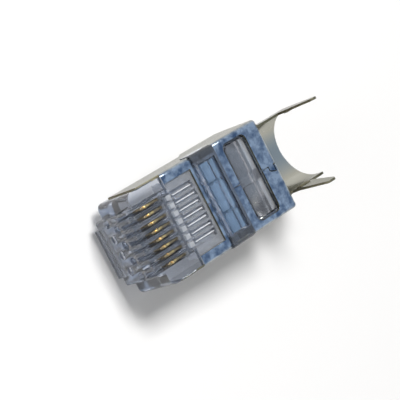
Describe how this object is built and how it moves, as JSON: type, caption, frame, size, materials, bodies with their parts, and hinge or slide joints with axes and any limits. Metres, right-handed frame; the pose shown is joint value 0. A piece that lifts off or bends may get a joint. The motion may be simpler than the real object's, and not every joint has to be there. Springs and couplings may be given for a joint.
{
  "type": "rj45 modular plug",
  "caption": "Shielded modular plug, uncrimped: clear housing with gold blade contacts and flexible latch in a folded metal shield with a cable cradle and bent-up clamp ears.",
  "frame": {"origin": "front face of the nose, on the centre plane and at mid height of the front body", "axes": "+X from the nose to the cable end, +Y across the plug, +Z out of the contact side, latch below"},
  "size_m": [0.0311, 0.0122, 0.0134],
  "materials": {
    "clear_polycarbonate": "clear, glossy, faint smoke-blue tint",
    "nickel_sheet": "satin nickel plate on folded sheet",
    "gold_blade": "gold plate, polished"
  },
  "bodies": {
    "plug": {"housing": "clear_polycarbonate", "shield": "nickel_sheet"},
    "latch_arm": {"latch": "clear_polycarbonate"},
    "jacket_bar": {"jacket_clamp": "clear_polycarbonate"},
    "conductor_bar": {"conductor_clamp": "clear_polycarbonate"},
    "blade_1": {"contact_1": "gold_blade"},
    "blade_2": {"contact_2": "gold_blade"},
    "blade_3": {"contact_3": "gold_blade"},
    "blade_4": {"contact_4": "gold_blade"},
    "blade_5": {"contact_5": "gold_blade"},
    "blade_6": {"contact_6": "gold_blade"},
    "blade_7": {"contact_7": "gold_blade"},
    "blade_8": {"contact_8": "gold_blade"}
  },
  "joints": [
    {"name": "latch_flex", "type": "hinge", "parent": "plug", "child": "latch_arm", "pos_m": [0.0019, 0, -0.00445], "axis": [0, -1, 0], "range_deg": [0, 8], "stiffness_Nm_per_rad": 0.15},
    {"name": "jacket_clamp_fold", "type": "hinge", "parent": "plug", "child": "jacket_bar", "pos_m": [0.01675, 0, 0.0024], "axis": [0, 1, 0], "range_deg": [0, 18]},
    {"name": "conductor_clamp_fold", "type": "hinge", "parent": "plug", "child": "conductor_bar", "pos_m": [0.0124, 0, 0.0024], "axis": [0, 1, 0], "range_deg": [0, 15]},
    {"name": "contact_1_press", "type": "slide", "parent": "plug", "child": "blade_1", "axis": [0, 0, -1], "range_m": [0, 0.0006]},
    {"name": "contact_2_press", "type": "slide", "parent": "plug", "child": "blade_2", "axis": [0, 0, -1], "range_m": [0, 0.0006]},
    {"name": "contact_3_press", "type": "slide", "parent": "plug", "child": "blade_3", "axis": [0, 0, -1], "range_m": [0, 0.0006]},
    {"name": "contact_4_press", "type": "slide", "parent": "plug", "child": "blade_4", "axis": [0, 0, -1], "range_m": [0, 0.0006]},
    {"name": "contact_5_press", "type": "slide", "parent": "plug", "child": "blade_5", "axis": [0, 0, -1], "range_m": [0, 0.0006]},
    {"name": "contact_6_press", "type": "slide", "parent": "plug", "child": "blade_6", "axis": [0, 0, -1], "range_m": [0, 0.0006]},
    {"name": "contact_7_press", "type": "slide", "parent": "plug", "child": "blade_7", "axis": [0, 0, -1], "range_m": [0, 0.0006]},
    {"name": "contact_8_press", "type": "slide", "parent": "plug", "child": "blade_8", "axis": [0, 0, -1], "range_m": [0, 0.0006]}
  ]
}
